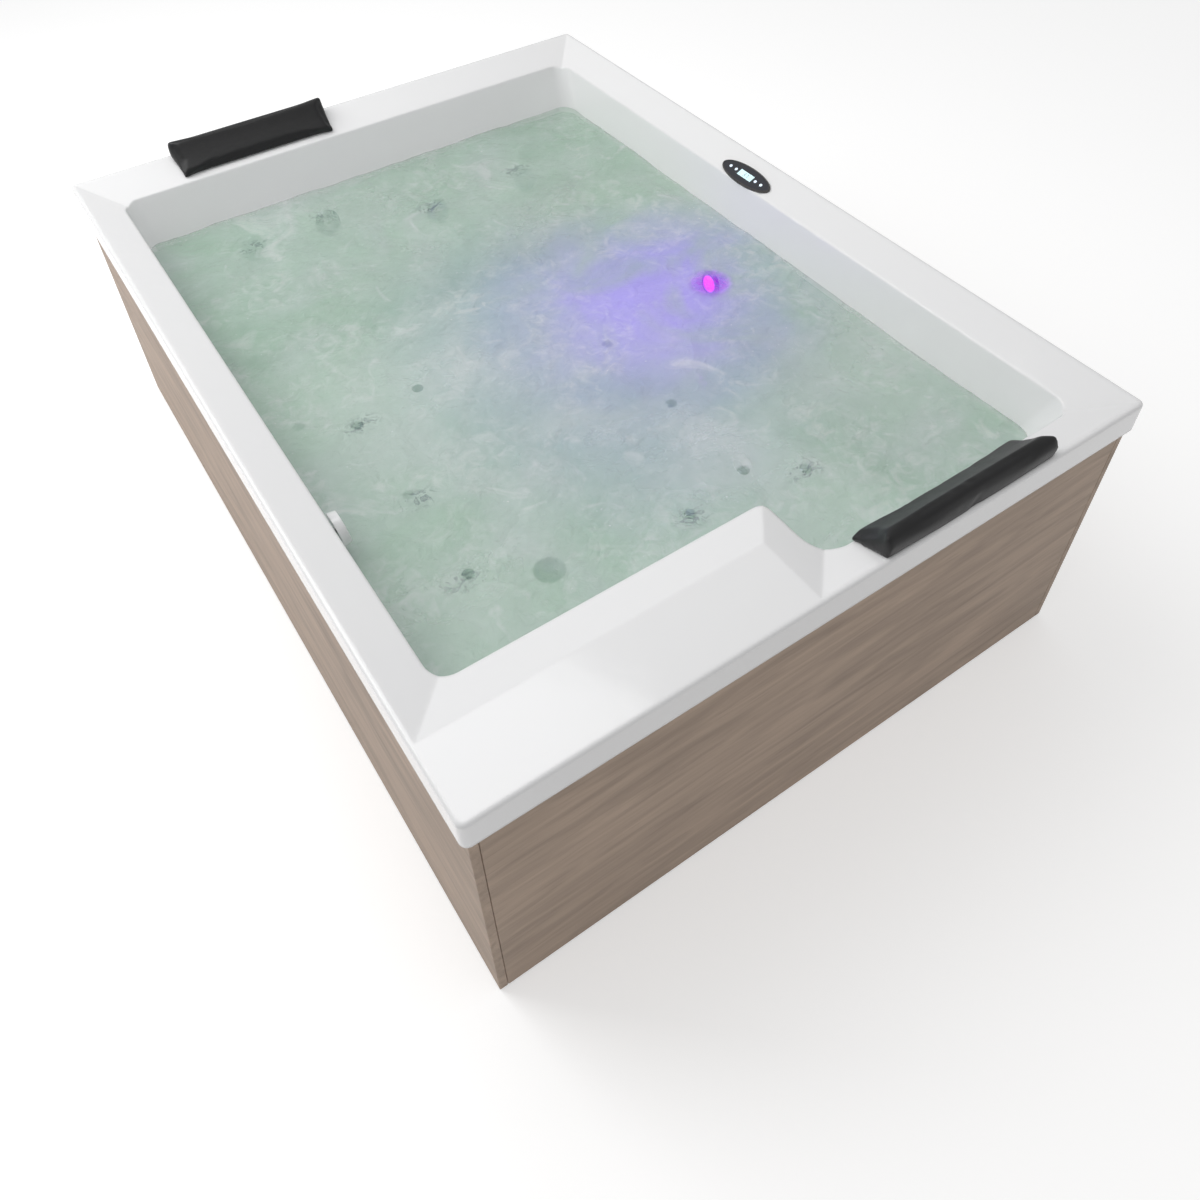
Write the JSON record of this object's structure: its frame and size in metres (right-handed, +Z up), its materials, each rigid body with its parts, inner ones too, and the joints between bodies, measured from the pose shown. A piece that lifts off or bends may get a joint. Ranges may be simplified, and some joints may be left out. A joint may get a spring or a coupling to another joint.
{
  "type": "hot tub",
  "caption": "Rectangular two-person hot tub with a sloping rim, corner shelf, wedge headrests, swivelling hydro jets, underwater light, control panel and wood-look aprons.",
  "frame": {"origin": "on the floor, below the middle of the rim", "axes": "+X to the right across the tub, +Y along it towards the back, away from the shelf, +Z up"},
  "size_m": [1.4, 1.9, 0.6842],
  "materials": {
    "acrylic": "polished white sanitary acrylic",
    "apron_board": "matt printed wood grain on a moisture-proof board",
    "chrome": "polished",
    "dark_plastic": "moulded, fine texture",
    "frame_steel": "powder coated",
    "headrest_foam": "integral-skin foam with a fine leather grain",
    "key_light": "translucent, lit from behind",
    "lens": "clear dome over coloured lamps",
    "motor_paint": "satin",
    "nozzle_plastic": "polished",
    "nylon": "moulded",
    "panel_gloss": "high gloss",
    "pipe_plastic": "moulded and solvent welded",
    "plain_wood": "raw, resin sealed",
    "rubber": "matt",
    "screen": "lit liquid-crystal screen",
    "zinc_steel": "zinc plated"
  },
  "bodies": {
    "root": {"air_pipes": "pipe_plastic", "apron_back": "apron_board", "apron_left": "apron_board", "apron_right": "apron_board", "blower": "dark_plastic", "control_box": "dark_plastic", "cross_rails": "frame_steel", "drain_flange": "chrome", "floor_board": "plain_wood", "foot_nuts": "zinc_steel", "foot_pads": "rubber", "foot_studs": "zinc_steel", "injector_bodies": "pipe_plastic", "injector_caps": "chrome", "jet_housings": "pipe_plastic", "jet_rings": "chrome", "light_bezel": "chrome", "light_housing": "pipe_plastic", "light_lens": "lens", "long_rails": "frame_steel", "magnet_catches": "dark_plastic", "overflow_pipe": "pipe_plastic", "panel_bezel": "panel_gloss", "panel_box": "dark_plastic", "panel_glass": "panel_gloss", "panel_screen": "screen", "pressure_pipes": "pipe_plastic", "pump_board": "plain_wood", "pump_motor": "motor_paint", "pump_volute": "dark_plastic", "rim_battens": "plain_wood", "rim_posts": "frame_steel", "suction_grille": "chrome", "suction_pipe": "pipe_plastic", "tub_shell": "acrylic", "waste_pipe": "pipe_plastic"},
    "headrest_far": {"headrest_far": "headrest_foam", "headrest_far_pegs": "nylon"},
    "headrest_near": {"headrest_near": "headrest_foam", "headrest_near_pegs": "nylon"},
    "apron_front": {"apron_front": "apron_board"},
    "drain_plug": {"drain_plug": "chrome"},
    "overflow_knob": {"overflow_knob": "chrome"},
    "pump_impeller": {"pump_impeller": "dark_plastic"},
    "nozzle_far_foot_left": {"nozzle_far_foot_left": "nozzle_plastic"},
    "nozzle_far_foot_right": {"nozzle_far_foot_right": "nozzle_plastic"},
    "nozzle_far_lumbar_left": {"nozzle_far_lumbar_left": "nozzle_plastic"},
    "nozzle_far_lumbar_right": {"nozzle_far_lumbar_right": "nozzle_plastic"},
    "nozzle_near_foot_left": {"nozzle_near_foot_left": "nozzle_plastic"},
    "nozzle_near_foot_right": {"nozzle_near_foot_right": "nozzle_plastic"},
    "nozzle_near_lumbar_left": {"nozzle_near_lumbar_left": "nozzle_plastic"},
    "nozzle_near_lumbar_right": {"nozzle_near_lumbar_right": "nozzle_plastic"},
    "panel_key_1": {"panel_key_1": "key_light"},
    "panel_key_2": {"panel_key_2": "key_light"},
    "panel_key_3": {"panel_key_3": "key_light"},
    "panel_key_4": {"panel_key_4": "key_light"}
  },
  "joints": [
    {"name": "headrest_far_lift", "type": "slide", "parent": "root", "child": "headrest_far", "axis": [0, -0.3383, 0.941], "range_m": [0, 0.08]},
    {"name": "headrest_near_lift", "type": "slide", "parent": "root", "child": "headrest_near", "axis": [0, 0.4109, 0.9117], "range_m": [0, 0.08]},
    {"name": "apron_front_pull", "type": "slide", "parent": "root", "child": "apron_front", "axis": [0, -1, 0], "range_m": [0, 0.15]},
    {"name": "panel_key_1_press", "type": "slide", "parent": "root", "child": "panel_key_1", "axis": [0.3969, 0, -0.9179], "range_m": [0, 0.0006], "stiffness_N_per_m": 400},
    {"name": "panel_key_2_press", "type": "slide", "parent": "root", "child": "panel_key_2", "axis": [0.3969, 0, -0.9179], "range_m": [0, 0.0006], "stiffness_N_per_m": 400},
    {"name": "panel_key_3_press", "type": "slide", "parent": "root", "child": "panel_key_3", "axis": [0.3969, 0, -0.9179], "range_m": [0, 0.0006], "stiffness_N_per_m": 400},
    {"name": "panel_key_4_press", "type": "slide", "parent": "root", "child": "panel_key_4", "axis": [0.3969, 0, -0.9179], "range_m": [0, 0.0006], "stiffness_N_per_m": 400},
    {"name": "nozzle_far_lumbar_left_tilt", "type": "hinge", "parent": "root", "child": "nozzle_far_lumbar_left", "pos_m": [-0.362, 0.77627, 0.42456], "axis": [1, 0, 0], "range_deg": [-15, 15]},
    {"name": "nozzle_far_lumbar_right_tilt", "type": "hinge", "parent": "root", "child": "nozzle_far_lumbar_right", "pos_m": [-0.162, 0.77627, 0.42456], "axis": [1, 0, 0], "range_deg": [-15, 15]},
    {"name": "nozzle_far_foot_left_tilt", "type": "hinge", "parent": "root", "child": "nozzle_far_foot_left", "pos_m": [0.137, 0.7496, 0.35856], "axis": [1, 0, 0], "range_deg": [-15, 15]},
    {"name": "nozzle_far_foot_right_tilt", "type": "hinge", "parent": "root", "child": "nozzle_far_foot_right", "pos_m": [0.415, 0.7496, 0.35856], "axis": [1, 0, 0], "range_deg": [-15, 15]},
    {"name": "nozzle_near_lumbar_left_tilt", "type": "hinge", "parent": "root", "child": "nozzle_near_lumbar_left", "pos_m": [0.162, -0.79427, 0.42456], "axis": [1, 0, 0], "range_deg": [-15, 15]},
    {"name": "nozzle_near_lumbar_right_tilt", "type": "hinge", "parent": "root", "child": "nozzle_near_lumbar_right", "pos_m": [0.362, -0.79427, 0.42456], "axis": [1, 0, 0], "range_deg": [-15, 15]},
    {"name": "nozzle_near_foot_left_tilt", "type": "hinge", "parent": "root", "child": "nozzle_near_foot_left", "pos_m": [-0.415, -0.66739, 0.35831], "axis": [1, 0, 0], "range_deg": [-15, 15]},
    {"name": "nozzle_near_foot_right_tilt", "type": "hinge", "parent": "root", "child": "nozzle_near_foot_right", "pos_m": [-0.137, -0.66739, 0.35831], "axis": [1, 0, 0], "range_deg": [-15, 15]},
    {"name": "overflow_knob_turn", "type": "hinge", "parent": "root", "child": "overflow_knob", "pos_m": [-0.61098, -0.32, 0.556], "axis": [0.9934, 0, 0.1149], "range_deg": [0, 90]},
    {"name": "drain_plug_lift", "type": "slide", "parent": "root", "child": "drain_plug", "axis": [0, 0, 1], "range_m": [0, 0.01]},
    {"name": "pump_impeller_spin", "type": "hinge", "parent": "root", "child": "pump_impeller", "pos_m": [-0.2, -0.83, 0.228], "axis": [1, 0, 0], "continuous": true}
  ],
  "couplings": [
    {"joint": "drain_plug_lift", "follows": "overflow_knob_turn", "m_per_rad": 0.0063662}
  ]
}
